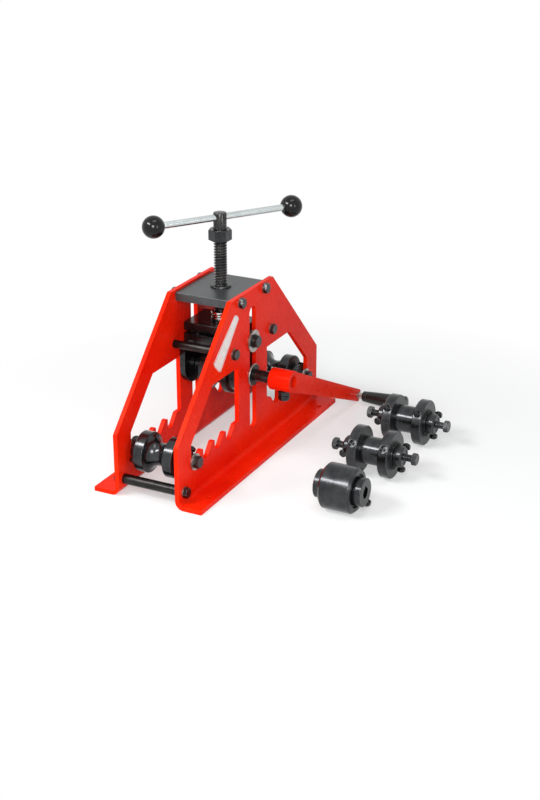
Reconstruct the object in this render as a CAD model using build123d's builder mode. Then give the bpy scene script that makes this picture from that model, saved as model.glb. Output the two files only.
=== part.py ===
from build123d import *
from math import asin, cos, degrees, radians, sin, sqrt
import os

os.makedirs("parts", exist_ok=True)

# Ring roller, millimetres. Origin on the bench under the middle of the frame,
# +X along the side plates, near plate on -Y with the crank, +Z up.

# Running and assembly clearances
running_fit = 0.05
seat_fit = 0.02
side_gap = 0.3

# Side plates: bent steel with a foot flange and a row of notches
plate_thickness = 8
plate_half_length = 273
plate_height = 312
crown_half_width = 80.5
shoulder_height = 114
bend_radius = 8
flange_reach = 42.5
foot_hole_radius = 5.5
foot_hole_from_end = 51
foot_hole_from_face = 29.5
slot_width = 24
slot_bottom = 46
slot_below_top = 32
post_half_width = 56
window_below_top = 128
window_apex_from_end = 123
window_corner_z = 103
notch_count = 4
notch_pitch = 41.5
last_notch_wall_from_end = 44.5
notch_radius = 10
notch_floor = 58.7
notch_lean = 40
tooth_top = 80
tooth_round = 2.5
corner_round = 3

# Top plate and its nut
top_plate_half_length = 66
top_plate_thickness = 15
top_plate_recess = 4
nut_radius = 17
nut_rim_radius = 19
nut_rim_height = 4

# Spacers and the bolts that hold the frame
bolt_radius = 5
bolt_hole_radius = 5.5
bolt_head_flats = 17
bolt_head_height = 6.4
bolt_grip = 22
washer_radius = 10
washer_thickness = 2
crown_bolt_x = 46
upper_spacer_x = 73.5
upper_spacer_below_top = 98
upper_spacer_radius = 7.5
lower_spacer_from_end = 18.5
lower_spacer_z = 26.2
lower_spacer_radius = 9

# Feed screw
screw_radius = 12
screw_above_plates = 132
screw_stub_radius = 10
tommy_hole_below_screw_top = 9
tommy_bar_radius = 6
tommy_bar_angle = 34
tommy_ball_radius = 20
tommy_ball_spacing = 272
tommy_bar_offset = 8
ball_grip_depth = 14
screw_nut_flats = 36
screw_nut_height = 20
screw_nut_below_screw_top = 50

# Carriage: a welded yoke under a pressure plate, guided by bushes in the slots
shaft_below_top = 162
guide_above_shaft = 65
cheek_thickness = 10
cheek_side_gap = 1
cheek_half_width = 57
cheek_below_shaft = 23
cheek_shoulder_above_shaft = 45
cheek_round = 35
bridge_half_width = 40
bridge_above_shaft = 62
bridge_thickness = 12
pressure_plate_gap = 6
pressure_plate_thickness = 15
pressure_boss_radius = 19
pressure_boss_height = 4.5
yoke_screw_radius = 4
yoke_screw_x = 28
yoke_screw_y = 33
yoke_screw_bite = 10
yoke_spacer_radius = 8
bush_flange_radius = 20.5
bush_flange_thickness = 3
bush_wall_gap = 0.3
guide_bolt_radius = 8
guide_head_radius = 11
guide_head_height = 9.5
screw_collar_radius = 16

# Ball thrust bearing under the screw shoulder
race_radius = 18.5
race_thickness = 4
ball_radius = 2.7
ball_circle_radius = 14.2
ball_count = 10
cage_thickness = 2.4

# Drive shaft, centre roller and crank
shaft_radius = 10
shaft_shoulder_radius = 11
shaft_end_recess = 2
shaft_far_showing = 4.7
key_width = 6
key_height = 6
key_length = 44
key_sink = 3.5
roller_hub_radius = 25
roller_hub_gap = 1
roller_screw_angle = 200
centre_roller_radius = 40
centre_roller_width = 58
centre_groove_width = 36
centre_groove_depth = 14
shaft_collar_radius = 18
shaft_collar_width = 12
hub_radius = 20
hub_stand_off = 35
hub_length = 34
arm_thickness = 9
arm_root_half_width = 18.5
arm_end_half_width = 12
arm_end_reach = 12
arm_end_round = 4
arm_bore_radius = 11.5
crank_length = 322
crank_screw_radius = 5
crank_screw_flats = 18
crank_screw_head = 8
crank_screw_from_start = 24
grip_length = 93
grip_root_radius = 10
grip_end_radius = 15.5
grip_gap = 11
grip_head_radius = 8
grip_head_height = 5
spindle_radius = 5
spindle_shoulder_radius = 6
spindle_nut_flats = 16
spindle_nut_height = 7

# Side rollers on their axles, bolted through the notches
axle_radius = 12.5
axle_bolt_radius = 6
axle_bolt_flats = 19
axle_bolt_head = 9
axle_bolt_bite = 24
axle_washer_radius = 15
axle_washer_thickness = 3
roller_width = 77
roller_radius = 36
roller_groove_width = 40
roller_groove_depth = 16
roller_edge = 1.5
roller_bush_radius = 15.5
roller_bush_length = 26
collar_radius = 19.5
collar_width = 15
collar_gap = 0.5
collar_end_gap = 1.5
collar_edge = 3
collar_screw_from_inner = 9
set_screw_radius = 4
set_screw_flats = 13
set_screw_head = 5.5
collar_screw_angles = {-1: (36, 156), 1: (105, 225)}

# Spare rollers that lie beside the machine
spare_front_x = 10.5
spare_rear_x = 169
spare_axle_y = -301
spare_bolt_showing = 16
spare_collar_screw_angles = {-1: (20, 276), 1: (188, 300)}
spare_collar_screw_standing_out = 4
core_radius = 25
core_lip_height = 2
core_recess_radius = 21.5
core_recess_depth = 2.2
disc_radius = 42.5
disc_width = 18
disc_edge = 1.5
disc_hole_angles = {"front": 146, "rear": 139}
disc_screw_length = 9
disc_screw_socket_radius = 3
disc_counterbore_radius = 7
disc_counterbore_depth = 6
spare_roller_x = -144.5
spare_roller_y = -306
spare_roller_radius = 40
spare_roller_edge = 4
spare_recess_width = 5
spare_recess_depth = 4
spare_screw_angle = -51
spare_screw_length = 25
spare_screw_standing_out = 12

# Places worked out from the sizes above
inner_gap = roller_width + 2 * (collar_gap + collar_width + collar_end_gap)
inner_face = inner_gap / 2
outer_face = inner_face + plate_thickness
flange_edge = outer_face + flange_reach
bend_outer_radius = bend_radius + plate_thickness
foot_hole_x = plate_half_length - foot_hole_from_end
foot_hole_y = outer_face + foot_hole_from_face
slot_top = plate_height - slot_below_top
window_top = plate_height - window_below_top
window_apex_x = plate_half_length - window_apex_from_end
window_side_x = plate_half_length - last_notch_wall_from_end
notch_walls = [window_side_x - notch_pitch * i for i in range(notch_count)]
top_plate_top = plate_height - top_plate_recess
top_plate_bottom = top_plate_top - top_plate_thickness
crown_bolt_z = (top_plate_top + top_plate_bottom) / 2
upper_spacer_z = plate_height - upper_spacer_below_top
lower_spacer_x = plate_half_length - lower_spacer_from_end
frame_bolt_places = [
    (sign * x, z)
    for sign in (-1, 1)
    for x, z in (
        (crown_bolt_x, crown_bolt_z),
        (upper_spacer_x, upper_spacer_z),
        (lower_spacer_x, lower_spacer_z),
    )
]

screw_top = plate_height + screw_above_plates
tommy_hole_z = screw_top - tommy_hole_below_screw_top
screw_nut_z = screw_top - screw_nut_below_screw_top

shaft_z = plate_height - shaft_below_top
guide_z = shaft_z + guide_above_shaft
cheek_outer = inner_face - cheek_side_gap
cheek_inner = cheek_outer - cheek_thickness
cheek_gap = 2 * cheek_inner
cheek_bottom = shaft_z - cheek_below_shaft
cheek_shoulder_z = shaft_z + cheek_shoulder_above_shaft
bridge_bottom = shaft_z + bridge_above_shaft
bridge_top = bridge_bottom + bridge_thickness
pressure_bottom = bridge_top + pressure_plate_gap
pressure_top = pressure_bottom + pressure_plate_thickness
boss_top = pressure_top + pressure_boss_height
cage_middle = boss_top + race_thickness + side_gap + ball_radius
upper_race_bottom = cage_middle + ball_radius + side_gap
screw_shoulder = upper_race_bottom + race_thickness
bush_outer_radius = slot_width / 2 - bush_wall_gap
bush_flange_start = outer_face + 0.5
bush_flange_end = bush_flange_start + bush_flange_thickness

hub_start = bush_flange_end + hub_stand_off
hub_end = hub_start + hub_length
arm_end = hub_end + arm_thickness
shaft_near_end = hub_end - shaft_end_recess
shaft_far_end = bush_flange_end + side_gap + shaft_collar_width + shaft_far_showing
grip_z = grip_end_radius
crank_drop = degrees(asin((shaft_z - grip_z) / crank_length))
grip_x = crank_length * cos(radians(crank_drop))
grip_start = arm_end + grip_gap + side_gap
grip_end = grip_start + grip_length
roller_hub_half = cheek_inner - roller_hub_gap

axle_x = window_side_x - notch_radius
axle_z = notch_floor + notch_radius
axle_half_length = inner_face - side_gap
collar_start = roller_width / 2 + collar_gap
core_half_length = roller_width / 2 + core_lip_height
spare_collar_start = core_half_length + collar_gap
tommy_axis = (cos(radians(tommy_bar_angle)), -sin(radians(tommy_bar_angle)))


def at_y(x, y, z, outward):
    """A place whose local Z points along +Y (outward 1) or -Y (outward -1)."""
    return Location((x, y, z), (-90 * outward, 0, 0))


def radial(x, y, z, distance, angle):
    """A place at a distance from a line along Y, with its local Z pointing away from it."""
    reach = (x + distance * cos(radians(angle)), y, z + distance * sin(radians(angle)))
    return Location(reach, (0, 90 - angle, 0))


def hexagon_head(flats, height, hole_radius=0):
    """A hexagon standing on local Z = 0, with its outer corners turned down to a cone."""
    corner = flats / sqrt(3)
    with BuildPart() as head:
        with BuildSketch():
            RegularPolygon(flats / 2, 6, major_radius=False)
            if hole_radius:
                Circle(hole_radius, mode=Mode.SUBTRACT)
        extrude(amount=height)
        with BuildSketch(Plane.XZ):
            with BuildLine():
                Polyline(
                    (0, 0),
                    (corner, 0),
                    (corner, height - (corner - flats / 2)),
                    (flats / 2, height),
                    (0, height),
                    close=True,
                )
            make_face()
        revolve(axis=Axis.Z, mode=Mode.INTERSECT)
    return head.part


def hexagon_bolt(radius, flats, head_height, shank):
    """A bolt with its head above local Z = 0 and its shank below."""
    head = hexagon_head(flats, head_height)
    with BuildPart() as bolt:
        add(head)
        with BuildSketch():
            Circle(radius)
        extrude(amount=-shank)
        chamfer(bolt.faces().sort_by(Axis.Z)[0].edges(), radius / 5)
    return bolt.part


def flat_washer(radius, hole_radius, thickness):
    """A washer standing on local Z = 0."""
    with BuildPart() as washer:
        with BuildSketch():
            Circle(radius)
            Circle(hole_radius, mode=Mode.SUBTRACT)
        extrude(amount=thickness)
    return washer.part


def save(part, name):
    part.label = name
    export_step(part, f"parts/{name}.step")


# --- Side plates -----------------------------------------------------------

notch_slope = Vector(sin(radians(notch_lean)), cos(radians(notch_lean)))
notch_arc_z = notch_floor + notch_radius


def notch_outline(wall_x):
    """One notch on the -X side: a plumb wall, a round floor and a leaning ramp up to the tooth top."""
    arc_x = -wall_x + notch_radius
    ramp_x = arc_x + notch_radius * notch_slope.Y
    ramp_z = notch_arc_z - notch_radius * notch_slope.X
    rise = tooth_top - ramp_z
    ramp_top_x = ramp_x + rise * notch_slope.X / notch_slope.Y
    floor_angle = radians(-90 - (notch_lean + 90) / 2 + 45)
    with BuildSketch(Plane.XZ) as notch:
        with BuildLine():
            Line((-wall_x, tooth_top), (-wall_x, notch_arc_z))
            ThreePointArc(
                (-wall_x, notch_arc_z),
                (arc_x + notch_radius * cos(floor_angle), notch_arc_z + notch_radius * sin(floor_angle)),
                (ramp_x, ramp_z),
            )
            Line((ramp_x, ramp_z), (ramp_top_x, tooth_top))
            Line((ramp_top_x, tooth_top), (-wall_x, tooth_top))
        make_face()
    return notch.sketch


def side_plate():
    """The near plate: an L section drawn along X, then cut to the outline, windows, notches and holes."""
    with BuildPart() as plate:
        with BuildSketch(Plane.YZ):
            with BuildLine():
                Polyline(
                    (-inner_face, bend_outer_radius),
                    (-inner_face, plate_height),
                    (-outer_face, plate_height),
                    (-outer_face, bend_outer_radius),
                )
                RadiusArc(
                    (-outer_face, bend_outer_radius),
                    (-outer_face - bend_radius, plate_thickness),
                    bend_radius,
                )
                Polyline(
                    (-outer_face - bend_radius, plate_thickness),
                    (-flange_edge, plate_thickness),
                    (-flange_edge, 0),
                    (-outer_face - bend_radius, 0),
                )
                RadiusArc(
                    (-outer_face - bend_radius, 0),
                    (-inner_face, bend_outer_radius),
                    -bend_outer_radius,
                )
            make_face()
        extrude(amount=plate_half_length, both=True)
        with BuildSketch(Plane.XZ):
            with BuildLine():
                Polyline(
                    (-plate_half_length, 0),
                    (-plate_half_length, shoulder_height),
                    (-crown_half_width, plate_height),
                    (crown_half_width, plate_height),
                    (plate_half_length, shoulder_height),
                    (plate_half_length, 0),
                    close=True,
                )
            outline = make_face()
            fillet(outline.vertices().filter_by(lambda v: v.Y > 1), corner_round)
        extrude(amount=flange_edge, mode=Mode.INTERSECT)
        with BuildSketch(Plane.XZ) as windows:
            with BuildLine():
                Polyline(
                    (-post_half_width, tooth_top),
                    (-post_half_width, window_top),
                    (-window_apex_x, window_top),
                    (-window_side_x, window_corner_z),
                    (-window_side_x, tooth_top),
                    close=True,
                )
            make_face()
            for wall_x in notch_walls:
                add(notch_outline(wall_x))
            tips = windows.vertices().filter_by(
                lambda v: abs(v.Y - tooth_top) < side_gap and -window_side_x < v.X < -post_half_width
            )
            fillet(tips, tooth_round)
            mirror(about=Plane.YZ)
        extrude(amount=flange_edge, mode=Mode.SUBTRACT)
        with BuildSketch(Plane.XZ):
            with Locations((0, (slot_top + slot_bottom) / 2)):
                SlotOverall(slot_top - slot_bottom, slot_width, rotation=90)
            with Locations(*frame_bolt_places):
                Circle(bolt_hole_radius)
        extrude(amount=flange_edge, mode=Mode.SUBTRACT)
        with Locations((-foot_hole_x, -foot_hole_y, 0), (foot_hole_x, -foot_hole_y, 0)):
            Cylinder(foot_hole_radius, 3 * plate_thickness, mode=Mode.SUBTRACT)
    return plate.part


near_plate = side_plate()
save(near_plate, "near_side_plate")
far_plate = near_plate.mirror(Plane.XZ)
save(far_plate, "far_side_plate")

# --- Top plate, nut and spacers --------------------------------------------

with BuildPart() as top_plate:
    with BuildSketch(Plane.XY.offset(top_plate_bottom)):
        Rectangle(2 * top_plate_half_length, inner_gap)
        Circle(nut_radius + seat_fit, mode=Mode.SUBTRACT)
    extrude(amount=top_plate_thickness)
    chamfer(top_plate.faces().sort_by(Axis.Z)[-1].edges().filter_by(Axis.Y), 1)
    for side in (-1, 1):
        for x in (-crown_bolt_x, crown_bolt_x):
            with Locations(at_y(x, side * inner_face, crown_bolt_z, side)):
                Hole(bolt_radius + seat_fit, depth=bolt_grip)
save(top_plate.part, "top_plate")

with BuildPart() as screw_nut:
    with BuildSketch(Plane.XY.offset(top_plate_bottom)):
        Circle(nut_radius)
    extrude(amount=top_plate_thickness)
    with BuildSketch(Plane.XY.offset(top_plate_top)):
        Circle(nut_rim_radius)
    extrude(amount=nut_rim_height)
    chamfer(screw_nut.faces().sort_by(Axis.Z)[-1].edges(), nut_rim_height / 2)
    with BuildSketch(Plane.XY.offset(top_plate_bottom)):
        Circle(screw_radius + running_fit)
    extrude(amount=top_plate_thickness + nut_rim_height, mode=Mode.SUBTRACT)
save(screw_nut.part, "screw_nut")


def spacer_pair(x, z, radius):
    """Two round bars between the side plates, tapped at both ends."""
    with BuildPart() as spacers:
        for sign in (-1, 1):
            with BuildSketch(Plane.XZ.offset(-inner_face)):
                with Locations((sign * x, z)):
                    Circle(radius)
            extrude(amount=inner_gap)
        for sign in (-1, 1):
            for side in (-1, 1):
                with Locations(at_y(sign * x, side * inner_face, z, side)):
                    Hole(bolt_radius + seat_fit, depth=bolt_grip)
    return spacers.part


save(spacer_pair(upper_spacer_x, upper_spacer_z, upper_spacer_radius), "upper_spacers")
save(spacer_pair(lower_spacer_x, lower_spacer_z, lower_spacer_radius), "lower_spacers")

frame_bolt = hexagon_bolt(
    bolt_radius,
    bolt_head_flats,
    bolt_head_height,
    washer_thickness + plate_thickness + bolt_grip - 2,
)
frame_washer = flat_washer(washer_radius, bolt_radius + side_gap, washer_thickness)

with BuildPart() as frame_bolts:
    for side in (-1, 1):
        for x, z in frame_bolt_places:
            with Locations(at_y(x, side * (outer_face + washer_thickness), z, side)):
                add(frame_bolt)
save(frame_bolts.part, "frame_bolts")

with BuildPart() as frame_washers:
    for side in (-1, 1):
        for x, z in frame_bolt_places:
            with Locations(at_y(x, side * outer_face, z, side)):
                add(frame_washer)
save(frame_washers.part, "frame_washers")

# --- Carriage ---------------------------------------------------------------

with BuildPart() as yoke:
    for side in (-1, 1):
        with BuildSketch(Plane.XZ.offset(-side * cheek_inner)):
            with BuildLine():
                Polyline(
                    (-bridge_half_width, bridge_top),
                    (-bridge_half_width, bridge_bottom),
                    (-cheek_half_width, cheek_shoulder_z),
                    (-cheek_half_width, cheek_bottom),
                    (cheek_half_width, cheek_bottom),
                    (cheek_half_width, cheek_shoulder_z),
                    (bridge_half_width, bridge_bottom),
                    (bridge_half_width, bridge_top),
                    close=True,
                )
            cheek = make_face()
            fillet(cheek.vertices().filter_by(lambda v: v.Y < cheek_bottom + 1), cheek_round)
        extrude(amount=-side * cheek_thickness)
    with BuildSketch(Plane.XY.offset(bridge_bottom)):
        Rectangle(2 * bridge_half_width, cheek_gap)
        with GridLocations(2 * yoke_screw_x, 2 * yoke_screw_y, 2, 2):
            Circle(yoke_screw_radius + side_gap, mode=Mode.SUBTRACT)
    extrude(amount=bridge_thickness)
    for side in (-1, 1):
        with Locations(at_y(0, side * cheek_outer, shaft_z, side)):
            Hole(bush_outer_radius + seat_fit, depth=cheek_thickness)
        with Locations(at_y(0, side * cheek_outer, guide_z, side)):
            Hole(guide_bolt_radius + seat_fit, depth=cheek_thickness)
save(yoke.part, "yoke")

with BuildPart() as pressure_plate:
    with BuildSketch(Plane.XY.offset(pressure_bottom)):
        Rectangle(2 * bridge_half_width, 2 * cheek_outer)
    extrude(amount=pressure_plate_thickness)
    chamfer(pressure_plate.faces().sort_by(Axis.Z)[-1].edges().filter_by(Axis.Y), 1)
    with BuildSketch(Plane.XY.offset(pressure_top)):
        Circle(pressure_boss_radius)
    extrude(amount=pressure_boss_height)
    with BuildSketch(Plane.XY.offset(pressure_bottom)):
        Circle(screw_stub_radius + running_fit)
    extrude(amount=pressure_plate_thickness + pressure_boss_height, mode=Mode.SUBTRACT)
    with BuildSketch(Plane.XY.offset(pressure_bottom)):
        with GridLocations(2 * yoke_screw_x, 2 * yoke_screw_y, 2, 2):
            Circle(yoke_screw_radius + seat_fit)
    extrude(amount=yoke_screw_bite + 1, mode=Mode.SUBTRACT)
save(pressure_plate.part, "pressure_plate")

yoke_screw = hexagon_bolt(
    yoke_screw_radius,
    set_screw_flats,
    set_screw_head,
    bridge_thickness + pressure_plate_gap + yoke_screw_bite,
)
yoke_spacer = flat_washer(yoke_spacer_radius, yoke_screw_radius + side_gap, pressure_plate_gap)
with BuildPart() as yoke_screws:
    for x in (-yoke_screw_x, yoke_screw_x):
        for y in (-yoke_screw_y, yoke_screw_y):
            with Locations(Location((x, y, bridge_bottom), (180, 0, 0))):
                add(yoke_screw)
            with Locations((x, y, bridge_top)):
                add(yoke_spacer)
save(yoke_screws.part, "yoke_screws")

guide_bush = flat_washer(bush_outer_radius, guide_bolt_radius + seat_fit, bush_flange_start - cheek_outer)
with BuildPart() as guide_bushes:
    for side in (-1, 1):
        with Locations(at_y(0, side * cheek_outer, guide_z, side)):
            add(guide_bush)
save(guide_bushes.part, "guide_bushes")

guide_washer = flat_washer(bush_flange_radius, guide_bolt_radius + side_gap, bush_flange_thickness - seat_fit)
with BuildPart() as guide_bolt:
    with BuildSketch():
        Circle(guide_head_radius)
    extrude(amount=guide_head_height)
    chamfer(guide_bolt.faces().sort_by(Axis.Z)[-1].edges(), 1)
    with BuildSketch():
        Circle(guide_bolt_radius)
    extrude(amount=cheek_inner - bush_flange_end)
with BuildPart() as guide_bolts:
    for side in (-1, 1):
        with Locations(at_y(0, side * bush_flange_start, guide_z, side)):
            add(guide_washer)
        with Locations(at_y(0, side * bush_flange_end, guide_z, side)):
            add(guide_bolt.part)
save(guide_bolts.part, "guide_bolts")

with BuildPart() as shaft_bush:
    with BuildSketch():
        Circle(bush_outer_radius)
    extrude(amount=bush_flange_end - cheek_inner)
    with BuildSketch(Plane.XY.offset(bush_flange_start - cheek_inner)):
        Circle(bush_flange_radius)
    extrude(amount=bush_flange_thickness)
    chamfer(shaft_bush.faces().sort_by(Axis.Z)[-1].edges(), 0.8)
    with BuildSketch():
        Circle(shaft_radius + running_fit)
    extrude(amount=bush_flange_end - cheek_inner, mode=Mode.SUBTRACT)
with BuildPart() as shaft_bushes:
    for side in (-1, 1):
        with Locations(at_y(0, side * cheek_inner, shaft_z, side)):
            add(shaft_bush.part)
save(shaft_bushes.part, "shaft_bushes")

# --- Thrust bearing ---------------------------------------------------------


def race(start, bore):
    """A flat ring of the thrust bearing with rounded outer edges."""
    with BuildPart() as ring:
        with BuildSketch(Plane.XY.offset(start)):
            Circle(race_radius)
            Circle(bore, mode=Mode.SUBTRACT)
        extrude(amount=race_thickness)
        fillet(ring.edges().filter_by(GeomType.CIRCLE).group_by(SortBy.RADIUS)[-1], 0.8)
    return ring.part


save(race(boss_top, screw_stub_radius + side_gap), "thrust_lower_race")
save(race(upper_race_bottom, screw_stub_radius + seat_fit), "thrust_upper_race")

with BuildPart() as thrust_ball_cage:
    with BuildSketch(Plane.XY.offset(cage_middle - cage_thickness / 2)):
        Circle(race_radius - 0.7)
        Circle(screw_stub_radius + side_gap, mode=Mode.SUBTRACT)
    extrude(amount=cage_thickness)
    with Locations((0, 0, cage_middle)):
        with PolarLocations(ball_circle_radius, ball_count):
            Sphere(ball_radius)
save(thrust_ball_cage.part, "thrust_ball_cage")

# --- Feed screw and tommy bar ----------------------------------------------

with BuildPart() as lead_screw:
    with BuildSketch(Plane.XY.offset(screw_shoulder)):
        Circle(screw_radius)
    extrude(amount=screw_top - screw_shoulder)
    chamfer(lead_screw.faces().sort_by(Axis.Z)[-1].edges(), 2)
    with BuildSketch(Plane.XY.offset(bridge_top + side_gap)):
        Circle(screw_stub_radius)
    extrude(amount=screw_shoulder - bridge_top - side_gap)
    with BuildSketch(Plane(origin=(0, 0, tommy_hole_z), z_dir=(*tommy_axis, 0))):
        Circle(tommy_bar_radius + running_fit)
    extrude(amount=2 * screw_radius, both=True, mode=Mode.SUBTRACT)
save(lead_screw.part, "lead_screw")

lock_nut = hexagon_head(screw_nut_flats, screw_nut_height, screw_radius + seat_fit)
save(lock_nut.moved(Location((0, 0, screw_nut_z))), "screw_lock_nut")

with BuildPart() as screw_collar:
    with BuildSketch(Plane.XY.offset(bridge_top + side_gap)):
        Circle(screw_collar_radius)
        Circle(screw_stub_radius + seat_fit, mode=Mode.SUBTRACT)
    extrude(amount=pressure_plate_gap - 2 * side_gap)
save(screw_collar.part, "screw_collar")

tommy_plane = Plane(
    origin=(tommy_bar_offset * tommy_axis[0], tommy_bar_offset * tommy_axis[1], tommy_hole_z),
    z_dir=(*tommy_axis, 0),
)
tommy_half_bar = tommy_ball_spacing / 2 - tommy_ball_radius + ball_grip_depth
with BuildPart() as tommy_bar:
    with BuildSketch(tommy_plane):
        Circle(tommy_bar_radius)
    extrude(amount=tommy_half_bar, both=True)
    chamfer(tommy_bar.edges().filter_by(GeomType.CIRCLE), 1)
save(tommy_bar.part, "tommy_bar")


def ball_knob(side):
    """A ball on one end of the bar, with a flat seat and a blind bore for the bar."""
    with BuildPart() as knob:
        with Locations(tommy_plane.offset(side * tommy_ball_spacing / 2).location):
            Sphere(tommy_ball_radius)
        seat = tommy_plane.offset(side * (tommy_ball_spacing / 2 - tommy_ball_radius + 2))
        with BuildSketch(seat):
            Circle(tommy_ball_radius)
        extrude(amount=-side * 2, mode=Mode.SUBTRACT)
        with BuildSketch(tommy_plane):
            Circle(tommy_bar_radius + seat_fit)
        extrude(amount=side * (tommy_half_bar + 1), mode=Mode.SUBTRACT)
    return knob.part


save(ball_knob(-1), "left_ball_knob")
save(ball_knob(1), "right_ball_knob")

# --- Drive shaft, centre roller and crank -----------------------------------

key_floor = shaft_radius - key_sink
with BuildPart() as drive_shaft:
    with BuildSketch(Plane.XZ.offset(-shaft_far_end)):
        with Locations((0, shaft_z)):
            Circle(shaft_radius)
    extrude(amount=shaft_far_end + shaft_near_end)
    with BuildSketch(Plane.XZ.offset(bush_flange_end + side_gap)):
        with Locations((0, shaft_z)):
            Circle(shaft_shoulder_radius)
    extrude(amount=shaft_near_end - bush_flange_end - side_gap)
    ends = drive_shaft.faces().sort_by(Axis.Y)
    chamfer(ends[0].edges() + ends[-1].edges(), 1)
    with BuildSketch(Plane.XY.offset(shaft_z + key_floor)):
        Rectangle(key_width + 2 * seat_fit, key_length + 2 * seat_fit)
    extrude(amount=key_sink + 1, mode=Mode.SUBTRACT)
save(drive_shaft.part, "drive_shaft")

with BuildPart() as roller_key:
    with BuildSketch(Plane.XY.offset(shaft_z + key_floor)):
        Rectangle(key_width, key_length)
    extrude(amount=key_height)
save(roller_key.part, "roller_key")


def groove_points(radius, groove_width, groove_depth):
    """Ends and middle of the round groove in a roller's rim, measured along and out from its axis."""
    return (
        (-groove_width / 2, radius),
        (0, radius - groove_depth),
        (groove_width / 2, radius),
    )


with BuildPart() as centre_roller:
    groove = groove_points(centre_roller_radius, centre_groove_width, centre_groove_depth)
    half_rim = centre_roller_width / 2
    with BuildSketch(Plane.YZ):
        with BuildLine():
            Polyline(
                (-roller_hub_half, shaft_radius + seat_fit),
                (-roller_hub_half, roller_hub_radius),
                (-half_rim, roller_hub_radius),
                (-half_rim, centre_roller_radius - roller_edge),
                (-half_rim + roller_edge, centre_roller_radius),
                groove[0],
            )
            ThreePointArc(*groove)
            Polyline(
                groove[2],
                (half_rim - roller_edge, centre_roller_radius),
                (half_rim, centre_roller_radius - roller_edge),
                (half_rim, roller_hub_radius),
                (roller_hub_half, roller_hub_radius),
                (roller_hub_half, shaft_radius + seat_fit),
                (-roller_hub_half, shaft_radius + seat_fit),
            )
        make_face()
    revolve(axis=Axis.Y)
    with BuildSketch(Plane.XZ.offset(-roller_hub_half)):
        with Locations((0, key_floor + key_height / 2)):
            Rectangle(key_width + 2 * seat_fit, key_height + 2 * seat_fit)
    extrude(amount=2 * roller_hub_half, mode=Mode.SUBTRACT)
    screw_y = (half_rim + roller_hub_half) / 2
    with Locations(radial(0, -screw_y, 0, roller_hub_radius, roller_screw_angle)):
        Hole(set_screw_radius + seat_fit, depth=roller_hub_radius - shaft_radius)
centre_roller_part = centre_roller.part.moved(Location((0, 0, shaft_z)))
save(centre_roller_part, "centre_roller")

roller_set_screw = hexagon_bolt(
    set_screw_radius, set_screw_flats, set_screw_head, roller_hub_radius - shaft_radius - seat_fit
)
with BuildPart() as roller_screw:
    with Locations(radial(0, -screw_y, shaft_z, roller_hub_radius, roller_screw_angle)):
        add(roller_set_screw)
save(roller_screw.part, "roller_screw")

with BuildPart() as shaft_collar:
    with BuildSketch(Plane.XZ.offset(-(bush_flange_end + side_gap))):
        with Locations((0, shaft_z)):
            Circle(shaft_collar_radius)
            Circle(shaft_radius + seat_fit, mode=Mode.SUBTRACT)
    extrude(amount=-shaft_collar_width)
    chamfer(shaft_collar.faces().sort_by(Axis.Y)[-1].edges().sort_by(SortBy.RADIUS)[-1], 1.5)
save(shaft_collar.part, "shaft_collar")

with BuildPart() as crank_hub:
    with BuildSketch(Plane.XZ.offset(hub_start)):
        with Locations((0, shaft_z)):
            Circle(hub_radius)
            Circle(shaft_shoulder_radius + seat_fit, mode=Mode.SUBTRACT)
    extrude(amount=hub_length)
    chamfer(crank_hub.faces().sort_by(Axis.Y)[-1].edges().sort_by(SortBy.RADIUS)[-1], 1.5)
    with Locations(radial(0, -(hub_start + crank_screw_from_start), shaft_z, hub_radius, -90)):
        Hole(crank_screw_radius + seat_fit, depth=hub_radius - shaft_shoulder_radius)
save(crank_hub.part, "crank_hub")

with BuildPart() as crank_arm:
    hub_centre = (0, shaft_z)
    arm_length = crank_length + arm_end_reach
    with BuildSketch(Plane.XZ.offset(hub_end)) as arm_face:
        with Locations(Location((*hub_centre, 0), (0, 0, -crank_drop))):
            Polygon(
                (0, -arm_root_half_width),
                (arm_length, -arm_end_half_width),
                (arm_length, arm_end_half_width),
                (0, arm_root_half_width),
                align=None,
            )
        fillet(arm_face.vertices().sort_by(Axis.X)[-2:], arm_end_round)
        with Locations(hub_centre):
            Circle(hub_radius)
            Circle(arm_bore_radius, mode=Mode.SUBTRACT)
        with Locations((grip_x, grip_z)):
            Circle(spindle_radius + seat_fit, mode=Mode.SUBTRACT)
    extrude(amount=arm_thickness)
save(crank_arm.part, "crank_arm")

crank_screw_nut = hexagon_head(crank_screw_flats, crank_screw_head, crank_screw_radius + seat_fit)
crank_screw_shank = hub_radius - shaft_shoulder_radius - seat_fit + crank_screw_head + 1
crank_screw_bolt = hexagon_bolt(crank_screw_radius, crank_screw_flats, crank_screw_head, crank_screw_shank)
with BuildPart() as crank_screw:
    screw_middle = -(hub_start + crank_screw_from_start)
    with Locations(radial(0, screw_middle, shaft_z, hub_radius, -90)):
        add(crank_screw_nut)
    with Locations(radial(0, screw_middle, shaft_z, hub_radius + crank_screw_head + 1, -90)):
        add(crank_screw_bolt)
save(crank_screw.part, "crank_screw")

with BuildPart() as grip_spindle:
    with BuildSketch(Plane.XZ.offset(hub_end - spindle_nut_height)):
        with Locations((grip_x, grip_z)):
            Circle(spindle_radius)
    extrude(amount=grip_end - grip_head_height - hub_end + spindle_nut_height)
    with BuildSketch(Plane.XZ.offset(arm_end)):
        with Locations((grip_x, grip_z)):
            Circle(spindle_shoulder_radius)
    extrude(amount=grip_gap)
    with BuildSketch(Plane.XZ.offset(grip_end - grip_head_height)):
        with Locations((grip_x, grip_z)):
            Circle(grip_head_radius)
    extrude(amount=grip_head_height - 1)
save(grip_spindle.part, "grip_spindle")

nut_blank = hexagon_head(spindle_nut_flats, spindle_nut_height, spindle_radius + seat_fit)
save(nut_blank.moved(at_y(grip_x, -hub_end, grip_z, 1)), "spindle_nut")

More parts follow.
